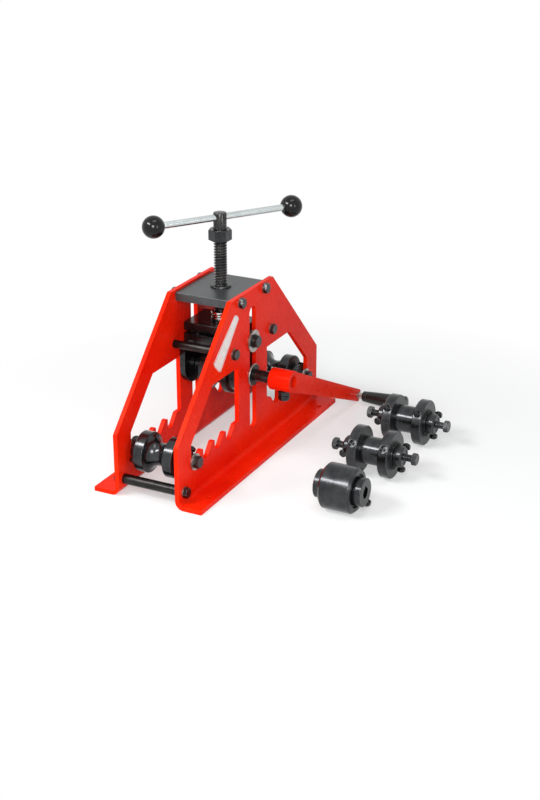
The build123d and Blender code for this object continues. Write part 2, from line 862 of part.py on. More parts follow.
with BuildPart() as crank_grip:
    with BuildSketch(Plane.XZ.offset(grip_start)):
        with Locations((grip_x, grip_z)):
            Circle(grip_root_radius)
    with BuildSketch(Plane.XZ.offset(grip_start + 0.8 * grip_length)):
        with Locations((grip_x, grip_z)):
            Circle(grip_end_radius)
    loft()
    with BuildSketch(Plane.XZ.offset(grip_start + 0.8 * grip_length)):
        with Locations((grip_x, grip_z)):
            Circle(grip_end_radius)
    extrude(amount=0.2 * grip_length)
    fillet(crank_grip.faces().sort_by(Axis.Y)[0].edges(), 4)
    fillet(crank_grip.faces().sort_by(Axis.Y)[-1].edges(), 2)
    with BuildSketch(Plane.XZ.offset(grip_start)):
        with Locations((grip_x, grip_z)):
            Circle(spindle_radius + running_fit)
    extrude(amount=grip_length, mode=Mode.SUBTRACT)
    with BuildSketch(Plane.XZ.offset(grip_end - grip_head_height - side_gap)):
        with Locations((grip_x, grip_z)):
            Circle(grip_head_radius + side_gap)
    extrude(amount=grip_head_height + side_gap, mode=Mode.SUBTRACT)
save(crank_grip.part, "crank_grip")

# --- Side rollers and the spare sets ----------------------------------------

axle_bolt_shank = axle_washer_thickness + plate_thickness + 2 * side_gap + axle_bolt_bite
axle_bolt = hexagon_bolt(axle_bolt_radius, axle_bolt_flats, axle_bolt_head, axle_bolt_shank)
boss_length = plate_thickness + 2 * side_gap - seat_fit
with BuildPart() as stepped_washer:
    with BuildSketch():
        Circle(axle_washer_radius)
    extrude(amount=axle_washer_thickness - seat_fit)
    with BuildSketch():
        Circle(notch_radius - side_gap)
    extrude(amount=-boss_length)
    with BuildSketch(Plane.XY.offset(-boss_length)):
        Circle(axle_bolt_radius + side_gap)
    extrude(amount=boss_length + axle_washer_thickness, mode=Mode.SUBTRACT)
collar_screw = hexagon_bolt(
    set_screw_radius, set_screw_flats, set_screw_head, collar_radius - axle_radius - seat_fit
)


def axle(x, y, z):
    """A round bar along Y, tapped at both ends."""
    with BuildPart() as bar:
        with BuildSketch(Plane.XZ.offset(-y - axle_half_length)):
            with Locations((x, z)):
                Circle(axle_radius)
        extrude(amount=2 * axle_half_length)
        chamfer(bar.edges().filter_by(GeomType.CIRCLE), 1)
        for side in (-1, 1):
            with Locations(at_y(x, y + side * axle_half_length, z, side)):
                Hole(axle_bolt_radius + seat_fit, depth=axle_bolt_bite + 2)
    return bar.part


def collars(x, y, z, start, angles):
    """Two collars that keep a roller in the middle of its axle, each tapped for its set screws."""
    with BuildPart() as pair:
        for side in (-1, 1):
            with BuildSketch(Plane.XZ.offset(-y - side * start)):
                with Locations((x, z)):
                    Circle(collar_radius)
            extrude(amount=-side * collar_width)
        ends = [pair.faces().sort_by(Axis.Y)[0], pair.faces().sort_by(Axis.Y)[-1]]
        for end in ends:
            chamfer(end.edges(), collar_edge)
        with BuildSketch(Plane.XZ.offset(-y - start - collar_width)):
            with Locations((x, z)):
                Circle(axle_radius + seat_fit)
        extrude(amount=2 * (start + collar_width), mode=Mode.SUBTRACT)
        for side in (-1, 1):
            for angle in angles[side]:
                middle = y + side * (start + collar_screw_from_inner)
                with Locations(radial(x, middle, z, collar_radius, angle)):
                    Hole(set_screw_radius + seat_fit, depth=collar_radius - axle_radius)
    return pair.part


def collar_screw_group(x, y, z, start, angles, standing_out=0):
    """The set screws of both collars, run home or left standing out."""
    with BuildPart() as screws:
        for side in (-1, 1):
            for angle in angles[side]:
                middle = y + side * (start + collar_screw_from_inner)
                with Locations(radial(x, middle, z, collar_radius + standing_out, angle)):
                    add(collar_screw)
    return screws.part


def axle_bolt_group(x, y, z, showing, washers):
    """The bolts at both ends of an axle, with stepped washers where they sit in the notches."""
    with BuildPart() as bolts:
        for side in (-1, 1):
            head_y = y + side * (axle_half_length + showing)
            with Locations(at_y(x, head_y, z, side)):
                add(axle_bolt)
            if washers:
                with Locations(at_y(x, head_y - side * axle_washer_thickness, z, side)):
                    add(stepped_washer.part)
    return bolts.part


def spool(x, y, z):
    """A side roller with a round groove, bored for a bush at each end."""
    half = roller_width / 2
    groove = groove_points(roller_radius, roller_groove_width, roller_groove_depth)
    with BuildPart() as roller:
        with BuildSketch(Plane.YZ):
            with BuildLine():
                Polyline(
                    (-half, roller_bush_radius + seat_fit),
                    (-half, roller_radius - roller_edge),
                    (-half + roller_edge, roller_radius),
                    groove[0],
                )
                ThreePointArc(*groove)
                Polyline(
                    groove[2],
                    (half - roller_edge, roller_radius),
                    (half, roller_radius - roller_edge),
                    (half, roller_bush_radius + seat_fit),
                    (half - roller_bush_length, roller_bush_radius + seat_fit),
                    (half - roller_bush_length, axle_radius + 1),
                    (-half + roller_bush_length, axle_radius + 1),
                    (-half + roller_bush_length, roller_bush_radius + seat_fit),
                    (-half, roller_bush_radius + seat_fit),
                )
            make_face()
        revolve(axis=Axis.Y)
    return roller.part.moved(Location((x, y, z)))


def roller_bushes(x, y, z):
    """Two plain bushes pressed into the roller."""
    bush = flat_washer(roller_bush_radius, axle_radius + running_fit, roller_bush_length)
    with BuildPart() as bushes:
        for side in (-1, 1):
            with Locations(at_y(x, y + side * (roller_width / 2 - roller_bush_length), z, side)):
                add(bush)
    return bushes.part


clamped_showing = side_gap + plate_thickness + side_gap + axle_washer_thickness
for name, sign in (("left", -1), ("right", 1)):
    place = (sign * axle_x, 0, axle_z)
    save(axle(*place), f"{name}_axle")
    save(collars(*place, collar_start, collar_screw_angles), f"{name}_collars")
    save(collar_screw_group(*place, collar_start, collar_screw_angles), f"{name}_collar_screws")
    save(axle_bolt_group(*place, clamped_showing, True), f"{name}_axle_bolts")
    save(spool(*place), f"{name}_roller")
    save(roller_bushes(*place), f"{name}_roller_bushes")


def disc_pair(x, y, z, hole_angle):
    """Two discs on the core, each with a counterbored set-screw hole."""
    with BuildPart() as discs:
        for side in (-1, 1):
            inner = roller_width / 2 - disc_width
            with BuildSketch(Plane.XZ.offset(-y - side * inner)):
                with Locations((x, z)):
                    Circle(disc_radius)
                    Circle(core_radius + seat_fit, mode=Mode.SUBTRACT)
            extrude(amount=-side * disc_width)
        rims = discs.edges().filter_by(GeomType.CIRCLE).group_by(SortBy.RADIUS)[-1]
        chamfer(rims, disc_edge)
        for side in (-1, 1):
            middle = y + side * (roller_width / 2 - disc_width / 2)
            with Locations(radial(x, middle, z, disc_radius, hole_angle)):
                CounterBoreHole(
                    bolt_radius + seat_fit,
                    disc_counterbore_radius,
                    disc_counterbore_depth,
                    depth=disc_radius - core_radius,
                )
    return discs.part


def disc_screws(x, y, z, hole_angle):
    """Socket set screws that lock the discs on the core."""
    with BuildPart() as screw:
        with BuildSketch():
            Circle(bolt_radius)
        extrude(amount=disc_screw_length)
        with BuildSketch(Plane.XY.offset(disc_screw_length)):
            RegularPolygon(disc_screw_socket_radius, 6)
        extrude(amount=-disc_screw_length / 2, mode=Mode.SUBTRACT)
    with BuildPart() as screws:
        for side in (-1, 1):
            middle = y + side * (roller_width / 2 - disc_width / 2)
            with Locations(radial(x, middle, z, core_radius + seat_fit, hole_angle)):
                add(screw.part)
    return screws.part


def core(x, y, z):
    """The sleeve that carries the discs and turns on the axle, with a recess for the collar at each end."""
    with BuildPart() as sleeve:
        with BuildSketch(Plane.XZ.offset(-y - core_half_length)):
            with Locations((x, z)):
                Circle(core_radius)
                Circle(axle_radius + running_fit, mode=Mode.SUBTRACT)
        extrude(amount=2 * core_half_length)
        for side in (-1, 1):
            with BuildSketch(Plane.XZ.offset(-y - side * core_half_length)):
                with Locations((x, z)):
                    Circle(core_recess_radius)
            extrude(amount=side * core_recess_depth, mode=Mode.SUBTRACT)
    return sleeve.part


for name, x in (("front", spare_front_x), ("rear", spare_rear_x)):
    place = (x, spare_axle_y, disc_radius)
    save(axle(*place), f"spare_{name}_axle")
    save(collars(*place, spare_collar_start, spare_collar_screw_angles), f"spare_{name}_collars")
    save(core(*place), f"spare_{name}_core")
    save(disc_pair(*place, disc_hole_angles[name]), f"spare_{name}_discs")
    save(disc_screws(*place, disc_hole_angles[name]), f"spare_{name}_disc_screws")
    screw_set = collar_screw_group(
        *place, spare_collar_start, spare_collar_screw_angles, spare_collar_screw_standing_out
    )
    bolt_set = axle_bolt_group(*place, spare_bolt_showing, False)
    with BuildPart() as fasteners:
        add(screw_set)
        add(bolt_set)
    save(fasteners.part, f"spare_{name}_fasteners")

with BuildPart() as spare_centre_roller:
    half_rim = centre_roller_width / 2
    recess_outer = roller_hub_radius + spare_recess_width
    with BuildSketch(Plane.YZ):
        with BuildLine():
            Polyline(
                (-roller_hub_half, shaft_radius + seat_fit),
                (-roller_hub_half, roller_hub_radius - 1),
                (-roller_hub_half + 1, roller_hub_radius),
                (-half_rim + spare_recess_depth, roller_hub_radius),
                (-half_rim + spare_recess_depth, recess_outer),
                (-half_rim, recess_outer),
                (-half_rim, spare_roller_radius - spare_roller_edge),
                (-half_rim + spare_roller_edge, spare_roller_radius),
                (half_rim - spare_roller_edge, spare_roller_radius),
                (half_rim, spare_roller_radius - spare_roller_edge),
                (half_rim, recess_outer),
                (half_rim - spare_recess_depth, recess_outer),
                (half_rim - spare_recess_depth, roller_hub_radius),
                (roller_hub_half - 1, roller_hub_radius),
                (roller_hub_half, roller_hub_radius - 1),
                (roller_hub_half, shaft_radius + seat_fit),
                close=True,
            )
        make_face()
    revolve(axis=Axis.Y)
    with BuildSketch(Plane.XZ.offset(-roller_hub_half)):
        with Locations((0, key_floor + key_height / 2)):
            Rectangle(key_width + 2 * seat_fit, key_height + 2 * seat_fit)
    extrude(amount=2 * roller_hub_half, mode=Mode.SUBTRACT)
    with Locations(radial(0, -screw_y, 0, roller_hub_radius, spare_screw_angle)):
        Hole(set_screw_radius + seat_fit, depth=roller_hub_radius - shaft_radius)
spare_place = (spare_roller_x, spare_roller_y, spare_roller_radius)
save(spare_centre_roller.part.moved(Location(spare_place)), "spare_centre_roller")

spare_set_screw = hexagon_bolt(set_screw_radius, set_screw_flats, set_screw_head, spare_screw_length)
spare_screw_out = roller_hub_radius + spare_screw_standing_out
spare_screw_y = spare_roller_y - screw_y
with BuildPart() as spare_roller_screw:
    with Locations(
        radial(spare_roller_x, spare_screw_y, spare_roller_radius, spare_screw_out, spare_screw_angle)
    ):
        add(spare_set_screw)
save(spare_roller_screw.part, "spare_roller_screw")
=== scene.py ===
import math

import bmesh
import bpy
import numpy as np
from mathutils import Matrix, Vector


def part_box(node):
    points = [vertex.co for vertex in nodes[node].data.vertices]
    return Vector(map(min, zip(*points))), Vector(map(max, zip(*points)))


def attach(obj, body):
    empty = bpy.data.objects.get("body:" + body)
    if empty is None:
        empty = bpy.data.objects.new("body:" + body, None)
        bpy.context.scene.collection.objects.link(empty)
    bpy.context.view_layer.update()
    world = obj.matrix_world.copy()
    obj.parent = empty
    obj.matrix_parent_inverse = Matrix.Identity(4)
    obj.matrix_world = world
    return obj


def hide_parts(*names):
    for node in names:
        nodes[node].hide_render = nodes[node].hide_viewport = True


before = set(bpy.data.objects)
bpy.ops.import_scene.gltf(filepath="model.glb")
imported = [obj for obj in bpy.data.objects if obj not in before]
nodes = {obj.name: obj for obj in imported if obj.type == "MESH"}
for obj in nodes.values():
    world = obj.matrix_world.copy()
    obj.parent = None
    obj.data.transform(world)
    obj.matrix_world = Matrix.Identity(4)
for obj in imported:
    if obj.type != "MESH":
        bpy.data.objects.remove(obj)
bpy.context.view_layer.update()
print("frame loaded:", len(nodes), "nodes")


# Mesh helpers

creaseAngle = 35  # degrees between faces, past which an edge stays sharp
threadCrease = 60
uprightFrom = 0.9  # height of a unit vector past which it counts as upright
threadShape = {
    "steepness": 1.9,  # of the flanks, against a plain wave from root to crest
    "rootFlat": 0.45,  # taken off the wave, which leaves the root flat
    "runOut": 0.4,  # share of a pitch over which the thread sinks away at either end
}


def smoothMesh(mesh, crease):
    # smooth shading, except across edges sharper than the crease angle
    mesh.polygons.foreach_set("use_smooth", np.ones(len(mesh.polygons), bool))
    mesh.set_sharp_from_angle(angle=math.radians(crease))


def meshObject(name, points, faces, crease=creaseAngle):
    # a mesh from an array of points and a list of faces
    mesh = bpy.data.meshes.new(name)
    mesh.from_pydata(points.tolist(), [], faces)
    mesh.validate()
    smoothMesh(mesh, crease)
    piece = bpy.data.objects.new(name, mesh)
    bpy.context.scene.collection.objects.link(piece)
    return piece


def gridFaces(rows, columns, wrap=True):
    # quads over a grid of rows by columns, closed along the columns when wrap is true
    r = np.arange(rows - 1)[:, None]
    c = np.arange(columns if wrap else columns - 1)[None, :]
    n = (c + 1) % columns
    quads = [r * columns + c, r * columns + n, (r + 1) * columns + n, (r + 1) * columns + c]
    return np.stack(quads, -1).reshape(-1, 4).tolist()


def tubeFrom(name, rings, crease=creaseAngle):
    # rings is rows x columns x 3: a closed skin with a flat cap at each end
    rows, columns = rings.shape[:2]
    faces = gridFaces(rows, columns)
    faces.append(list(range(columns))[::-1])
    faces.append([(rows - 1) * columns + i for i in range(columns)])
    return meshObject(name, rings.reshape(-1, 3), faces, crease)


def circleAbout(direction, segments):
    # the angles and the points of a unit circle square to a direction, and that direction at unit length
    along = np.array(direction, float) / np.linalg.norm(direction)
    start = [1.0, 0, 0] if abs(along[2]) >= uprightFrom else [0, 0, 1.0]
    side = np.cross(start, along)
    side /= np.linalg.norm(side)
    up = np.cross(along, side)
    angles = np.linspace(0, 2 * np.pi, segments, endpoint=False)
    return angles, np.cos(angles)[:, None] * side + np.sin(angles)[:, None] * up, along


def turned(name, origin, direction, profile, segments=96):
    # a turned piece: each (distance along the axis, radius) is swept through a full circle
    circle, along = circleAbout(direction, segments)[1:]
    z, r = np.array(profile, float).T
    rings = np.array(origin) + z[:, None, None] * along + r[:, None, None] * circle
    return tubeFrom(name, rings)


def threaded(name, origin, direction, thread):
    # a screw thread: the radius rises and falls with the distance along the axis less the share of a turn,
    # as a flattened wave, and sinks to the minor radius at either end
    angles, circle, along = circleAbout(direction, thread["segments"])
    length, pitch = thread["length"], thread["pitch"]
    z = np.linspace(0, length, int(length / pitch * thread["stepsPerTurn"]) + 1)
    phase = (z[:, None] / pitch - angles[None, :] / (2 * np.pi)) % 1
    height = np.abs(phase - 0.5) * 2
    wave = np.clip(threadShape["steepness"] * height - threadShape["rootFlat"], 0, 1)
    ends = np.clip(np.minimum(z, length - z)[:, None] / (threadShape["runOut"] * pitch), 0, 1)
    r = thread["minor"] + (thread["major"] - thread["minor"]) * wave * ends
    rings = np.array(origin) + z[:, None, None] * along + r[:, :, None] * circle[None]
    return tubeFrom(name, rings, threadCrease)


def turnOutwards(piece):
    # every face of a closed mesh made to point outwards
    shape = bmesh.new()
    shape.from_mesh(piece.data)
    bmesh.ops.recalc_face_normals(shape, faces=shape.faces)
    shape.to_mesh(piece.data)
    shape.free()


def placePiece(piece, material, body, slot, *replaced):
    piece.data.materials.clear()
    piece.data.materials.append(material)
    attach(piece, body)
    if replaced:
        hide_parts(*replaced)


def nodeCentre(name):
    low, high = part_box(name)
    return tuple((low + high) / 2)


# Material helpers

bumpStrength = 0.2
bevelSamples = 4
edgeCosines = (0.995, 0.85)  # between rounded and flat normal: where the edge mask starts, and is full
mixSockets = {"factor": 0, "first": 6, "second": 7, "result": 2}


def newMaterial(name):
    material = bpy.data.materials.new(name)
    material.use_nodes = True
    tree = material.node_tree
    return material, tree, tree.nodes["Principled BSDF"]


def link(tree, start, end):
    tree.links.new(start, end)


def objectPoint(tree, centre=(0, 0, 0), turn=(0, 0, 0), grain=(1, 1, 1)):
    # Object coordinates about a centre, turned to the piece's own axes, with the pattern drawn out by grain
    place = tree.nodes.new("ShaderNodeTexCoord")
    mapping = tree.nodes.new("ShaderNodeMapping")
    mapping.vector_type = "TEXTURE"
    mapping.inputs["Location"].default_value = centre
    mapping.inputs["Rotation"].default_value = turn
    mapping.inputs["Scale"].default_value = grain
    link(tree, place.outputs["Object"], mapping.inputs["Vector"])
    return mapping.outputs["Vector"]


def noise(tree, vector, scale, detail=3, roughness=0.55):
    node = tree.nodes.new("ShaderNodeTexNoise")
    node.inputs["Scale"].default_value = scale
    node.inputs["Detail"].default_value = detail
    node.inputs["Roughness"].default_value = roughness
    link(tree, vector, node.inputs["Vector"])
    return node.outputs["Fac"]


def remap(tree, value, low, high, toLow=0, toHigh=1):
    node = tree.nodes.new("ShaderNodeMapRange")
    limits = zip(("From Min", "From Max", "To Min", "To Max"), (low, high, toLow, toHigh))
    for socket, number in limits:
        node.inputs[socket].default_value = number
    link(tree, value, node.inputs["Value"])
    return node.outputs["Result"]


def mixColours(tree, factor, first, second):
    node = tree.nodes.new("ShaderNodeMix")
    node.data_type = "RGBA"
    link(tree, factor, node.inputs[mixSockets["factor"]])
    for place, colour in (("first", first), ("second", second)):
        socket = node.inputs[mixSockets[place]]
        if isinstance(colour, tuple):
            socket.default_value = (*colour, 1)
        else:
            link(tree, colour, socket)
    return node.outputs[mixSockets["result"]]


def mathNode(tree, operation, first, second=0.0):
    node = tree.nodes.new("ShaderNodeMath")
    node.operation = operation
    for socket, value in enumerate((first, second)):
        if isinstance(value, (int, float)):
            node.inputs[socket].default_value = value
        else:
            link(tree, value, node.inputs[socket])
    return node.outputs[0]


def blendOf(tree, first, second, share):
    # a weighted mean of two values, with this share of the second
    firstPart = mathNode(tree, "MULTIPLY", first, 1 - share)
    secondPart = mathNode(tree, "MULTIPLY", second, share)
    return mathNode(tree, "ADD", firstPart, secondPart)


def roundedNormal(tree, radius):
    # shading normals as if the edges were rounded to a radius
    rounded = tree.nodes.new("ShaderNodeBevel")
    rounded.samples = bevelSamples
    rounded.inputs["Radius"].default_value = radius
    return rounded.outputs["Normal"]


def edgeMask(tree, rounded):
    # 1 on the edges, where the rounded normal leans away from the flat one
    flat = tree.nodes.new("ShaderNodeNewGeometry")
    compare = tree.nodes.new("ShaderNodeVectorMath")
    compare.operation = "DOT_PRODUCT"
    link(tree, rounded, compare.inputs[0])
    link(tree, flat.outputs["Normal"], compare.inputs[1])
    return remap(tree, compare.outputs["Value"], *edgeCosines)


def bump(tree, shader, height, distance, normal=None, strength=bumpStrength):
    node = tree.nodes.new("ShaderNodeBump")
    node.inputs["Strength"].default_value = strength
    node.inputs["Distance"].default_value = distance
    link(tree, height, node.inputs["Height"])
    if normal is not None:
        link(tree, normal, node.inputs["Normal"])
    link(tree, node.outputs["Normal"], shader.inputs["Normal"])


def radiusAbout(tree, point, axis):
    # distance from the piece's axis, and distance along it
    split = tree.nodes.new("ShaderNodeSeparateXYZ")
    link(tree, point, split.inputs[0])
    across = [mathNode(tree, "POWER", split.outputs[a], 2) for a in "XYZ" if a != axis]
    return mathNode(tree, "SQRT", mathNode(tree, "ADD", *across)), split.outputs[axis]


def turningMarks(tree, point, axis, scale):
    # rings round an axis, as a lathe tool leaves them
    radius, along = radiusAbout(tree, point, axis)
    join = tree.nodes.new("ShaderNodeCombineXYZ")
    link(tree, radius, join.inputs["X"])
    link(tree, along, join.inputs["Y"])
    return noise(tree, join.outputs[0], scale, detail=2)


# Red powder coat of the side plates and the crank

paint = {
    "colour": (0.90, 0.022, 0.003),
    "deep": (0.81, 0.011, 0.002),
    "cloudScale": 7, "clouds": (0.36, 0.64),
    # the edge colour and its noisy spread are partly a thin coat and partly a painted highlight along the
    # edges
    "edge": (0.93, 0.07, 0.02),
    "edgeRadius": 0.0007,
    "wearAndSheenScale": 130, "wearAndSheen": (0.3, 0.6, 0.15, 0.7),
    "smudgeScale": 38, "smudges": (0.3, 0.7),
    "roughness": (0.24, 0.33),
    "specular": 0.06,
    "sheen": (1.0, 0.55, 0.35),
    "peelScale": 850, "peelDepth": 0.00001,
}


def powderCoat():
    # satin red: cloudy colour, fine orange peel, and a paler colour on the edges that is partly a thin coat
    # and partly a painted highlight where the edges catch the light
    material, tree, shader = newMaterial("redPowderCoat")
    point = objectPoint(tree)
    normal = roundedNormal(tree, paint["edgeRadius"])
    clouds = remap(tree, noise(tree, point, paint["cloudScale"], detail=4), *paint["clouds"])
    face = mixColours(tree, clouds, paint["deep"], paint["colour"])
    # paler colour on the edges: partly thin coat, partly a painted highlight
    wearAndSheen = remap(tree, noise(tree, point, paint["wearAndSheenScale"]), *paint["wearAndSheen"])
    thinCoatAndHighlight = mathNode(tree, "MULTIPLY", edgeMask(tree, normal), wearAndSheen)
    link(tree, mixColours(tree, thinCoatAndHighlight, face, paint["edge"]), shader.inputs["Base Color"])
    smudges = noise(tree, point, paint["smudgeScale"], detail=4)
    gloss = remap(tree, smudges, *paint["smudges"], *paint["roughness"])
    link(tree, gloss, shader.inputs["Roughness"])
    shader.inputs["Specular IOR Level"].default_value = paint["specular"]
    shader.inputs["Specular Tint"].default_value = (*paint["sheen"], 1)
    peel = noise(tree, point, paint["peelScale"], detail=2)
    bump(tree, shader, peel, paint["peelDepth"], normal)
    return material


# Black-oxide steel: what each finish starts from

oxide = {
    "dark": (0.021, 0.022, 0.023), "pale": (0.056, 0.058, 0.060), "tones": (0.4, 0.62),
    "mottleScale": 48, "markShare": 0.5,
    "grain": (1, 1, 1), "grainScale": 620,
    "ringScale": 1500, "markDepth": 0.00002,
    "roughness": (0.19, 0.28), "glossRange": (0.35, 0.65), "metal": 0.9,
    "end": (0.075, 0.08, 0.08), "endFacing": (0.9, 0.97), "endShare": 0.55, "endDuller": 0.14,
    # the pale edge colour is partly rubbed wear and partly a painted highlight along the edges
    "edge": (0.50, 0.50, 0.50), "edgeRadius": 0.0005,
    "rubAndSheenScale": 210, "rubAndSheen": (0.38, 0.62, 0.05, 0.6),
}


def blackSteel(name, changes=None, centre=None, axis="Y"):
    # a soft mottle, a pale edge that is partly rubbed wear and partly a painted highlight, lathe rings where
    # the piece is turned about an axis through a centre, and duller, greyer end faces there
    look = {**oxide, **(changes or {})}
    material, tree, shader = newMaterial(name)
    point = objectPoint(tree)
    normal = roundedNormal(tree, look["edgeRadius"])
    mottle = noise(tree, point, look["mottleScale"], detail=5, roughness=0.6)
    if centre is None:
        marks = noise(tree, objectPoint(tree, grain=look["grain"]), look["grainScale"], detail=2)
    else:
        marks = turningMarks(tree, objectPoint(tree, centre), axis, look["ringScale"])
    blend = blendOf(tree, mottle, marks, look["markShare"])
    tone = mixColours(tree, remap(tree, blend, *look["tones"]), look["dark"], look["pale"])
    gloss = remap(tree, blend, *look["glossRange"], *look["roughness"])
    if centre is not None:
        facing = tree.nodes.new("ShaderNodeTexCoord")
        split = tree.nodes.new("ShaderNodeSeparateXYZ")
        link(tree, facing.outputs["Normal"], split.inputs[0])
        endFace = remap(tree, mathNode(tree, "ABSOLUTE", split.outputs[axis]), *look["endFacing"])
        tone = mixColours(tree, mathNode(tree, "MULTIPLY", endFace, look["endShare"]), tone, look["end"])
        gloss = mathNode(tree, "ADD", gloss, mathNode(tree, "MULTIPLY", endFace, look["endDuller"]))
    # pale colour on the edges: partly rubbed wear, partly a painted highlight
    rubAndSheen = remap(tree, noise(tree, point, look["rubAndSheenScale"]), *look["rubAndSheen"])
    rubbedAndHighlit = mathNode(tree, "MULTIPLY", edgeMask(tree, normal), rubAndSheen)
    link(tree, mixColours(tree, rubbedAndHighlit, tone, look["edge"]), shader.inputs["Base Color"])
    link(tree, gloss, shader.inputs["Roughness"])
    shader.inputs["Metallic"].default_value = look["metal"]
    bump(tree, shader, marks, look["markDepth"], normal)
    return material


# Bright steel: plated or ground

bright = {
    "edgeRadius": 0.0003,
    "cloudScale": 60, "cloudShare": 0.35,
    "tones": (0.4, 0.6), "glossRange": (0.35, 0.65),
    "depth": 0.00002,
}


def brightSteel(name, changes, turn=(0, 0, 0), grain=(1, 1, 1), axis=None):
    # fine streaks drawn out by grain, or rings round an axis, over soft clouds
    look = {**bright, **changes}
    material, tree, shader = newMaterial(name)
    normal = roundedNormal(tree, look["edgeRadius"])
    point = objectPoint(tree, turn=turn, grain=grain)
    if axis:
        streaks = turningMarks(tree, point, axis, look["scale"])
    else:
        streaks = noise(tree, point, look["scale"])
    clouds = noise(tree, objectPoint(tree), look["cloudScale"])
    blend = blendOf(tree, streaks, clouds, look["cloudShare"])
    tone = mixColours(tree, remap(tree, blend, *look["tones"]), look["dull"], look["bright"])
    link(tree, tone, shader.inputs["Base Color"])
    gloss = remap(tree, blend, *look["glossRange"], *look["roughness"])
    link(tree, gloss, shader.inputs["Roughness"])
    shader.inputs["Metallic"].default_value = 1
    bump(tree, shader, streaks, look["depth"], normal)
    return material


# One node of two finishes: dark bolts or bushes, and pale plated rings outside the side plates

ringed = {
    "dark": ((0.022, 0.022, 0.024), (0.06, 0.06, 0.062)),
    "plated": ((0.30, 0.27, 0.245), (0.46, 0.42, 0.39)),
    "mottleScale": 90, "mottle": (0.35, 0.65),
    "roughness": (0.26, 0.4), "metal": 0.9,
    "edgeRadius": 0.0004,
    "grainScale": 800, "grainDepth": 0.00002,
}
guideRing = {"from": 0.0638, "to": 0.0670, "outside": 0.0135}
axleRing = {"from": 0.0636, "to": 0.0668, "outside": 0.0101}


def ringedSteel(name, nodeName, ring):
    # the plated ring lies between two distances from the middle plane and outside a radius about the
    # node's own axis
    material, tree, shader = newMaterial(name)
    normal = roundedNormal(tree, ringed["edgeRadius"])
    point = objectPoint(tree, nodeCentre(nodeName))
    radius, along = radiusAbout(tree, point, "Y")
    away = mathNode(tree, "ABSOLUTE", along)
    past = mathNode(tree, "GREATER_THAN", away, ring["from"])
    before = mathNode(tree, "LESS_THAN", away, ring["to"])
    outside = mathNode(tree, "GREATER_THAN", radius, ring["outside"])
    plated = mathNode(tree, "MULTIPLY", mathNode(tree, "MULTIPLY", past, before), outside)
    mottle = remap(tree, noise(tree, point, ringed["mottleScale"], detail=4), *ringed["mottle"])
    darkTone = mixColours(tree, mottle, *ringed["dark"])
    paleTone = mixColours(tree, mottle, *ringed["plated"])
    link(tree, mixColours(tree, plated, darkTone, paleTone), shader.inputs["Base Color"])
    link(tree, remap(tree, mottle, 0, 1, *ringed["roughness"]), shader.inputs["Roughness"])
    shader.inputs["Metallic"].default_value = ringed["metal"]
    grain = noise(tree, point, ringed["grainScale"], detail=2)
    bump(tree, shader, grain, ringed["grainDepth"], normal)
    return material


# Moulded black plastic of the knobs and the grip

moulded = {
    "cloudScale": 40, "clouds": (0.3, 0.7), "darkShare": 0.6,
    "grains": (0.3, 0.7), "glossSpread": 0.15,
}


def plastic(name, look):
    # a fine grain, over a colour that clouds a little darker
    material, tree, shader = newMaterial(name)
    point = objectPoint(tree)
    grain = noise(tree, point, look["grain"], detail=2)
    cloud = remap(tree, noise(tree, point, moulded["cloudScale"]), *moulded["clouds"])
    darker = tuple(moulded["darkShare"] * c for c in look["colour"])
    link(tree, mixColours(tree, cloud, darker, look["colour"]), shader.inputs["Base Color"])
    spread = [look["roughness"] * (1 + sign * moulded["glossSpread"]) for sign in (-1, 1)]
    link(tree, remap(tree, grain, *moulded["grains"], *spread), shader.inputs["Roughness"])
    shader.inputs["Specular IOR Level"].default_value = look["specular"]
    bump(tree, shader, grain, look["depth"])
    return material


# Finishes of the nodes

barTurn = math.radians(-34)  # the tommy bar lies turned by this about the screw's axis
barAxis = (math.cos(barTurn), math.sin(barTurn), 0)

spacerLook = {
    "dark": (0.018, 0.0175, 0.017), "pale": (0.044, 0.042, 0.04),
    "roughness": (0.3, 0.4), "grain": (1, 40, 1),
}
topLook = {
    # its pale edge colour is partly wear and partly a painted highlight along the edges
    "dark": (0.052, 0.058, 0.060), "pale": (0.086, 0.094, 0.096), "edge": (0.34, 0.34, 0.33),
    "roughness": (0.34, 0.46), "metal": 0.55, "edgeRadius": 0.0006,
}
screwLook = {"pale": (0.09, 0.088, 0.085), "roughness": (0.14, 0.22)}
lathedLook = {"dark": (0.030, 0.031, 0.033), "pale": (0.070, 0.072, 0.075)}
polishedLook = {**lathedLook, "roughness": (0.155, 0.23)}
washerLook = {
    "bright": (0.46, 0.43, 0.40), "dull": (0.28, 0.26, 0.245),
    "roughness": (0.24, 0.38), "scale": 420,
}
zincLook = {
    "bright": (0.62, 0.66, 0.66), "dull": (0.52, 0.56, 0.56),
    "roughness": (0.2, 0.27), "scale": 520, "depth": 0.000006,
}
zincGrain = (60, 1, 1)
bearingLook = {
    "bright": (0.84, 0.82, 0.79), "dull": (0.62, 0.59, 0.56),
    "roughness": (0.08, 0.18), "scale": 900,
}
bronzeLook = {
    "bright": (0.62, 0.42, 0.2), "dull": (0.45, 0.3, 0.14),
    "roughness": (0.28, 0.42), "scale": 700,
}
knobLook = {
    "colour": (0.003, 0.003, 0.0035), "roughness": 0.14, "specular": 0.3,
    "grain": 900, "depth": 0.000004,
}
gripLook = {
    "colour": (0.009, 0.009, 0.0095), "roughness": 0.24, "specular": 0.4,
    "grain": 1100, "depth": 0.00003,
}

red = powderCoat()
boltSteel = blackSteel("boltSteel")
spacerSteel = blackSteel("spacerSteel", spacerLook)
topPlateSteel = blackSteel("topPlateSteel", topLook)
screwSteel = blackSteel("screwSteel", screwLook)
washerSteel = brightSteel("washerSteel", washerLook)
zincBar = brightSteel("zincBar", zincLook, turn=(0, 0, barTurn), grain=zincGrain)
bearingSteel = brightSteel("bearingSteel", bearingLook, axis="Z")
bronze = brightSteel("bronze", bronzeLook)
knobPlastic = plastic("knobPlastic", knobLook)
gripPlastic = plastic("gripPlastic", gripLook)

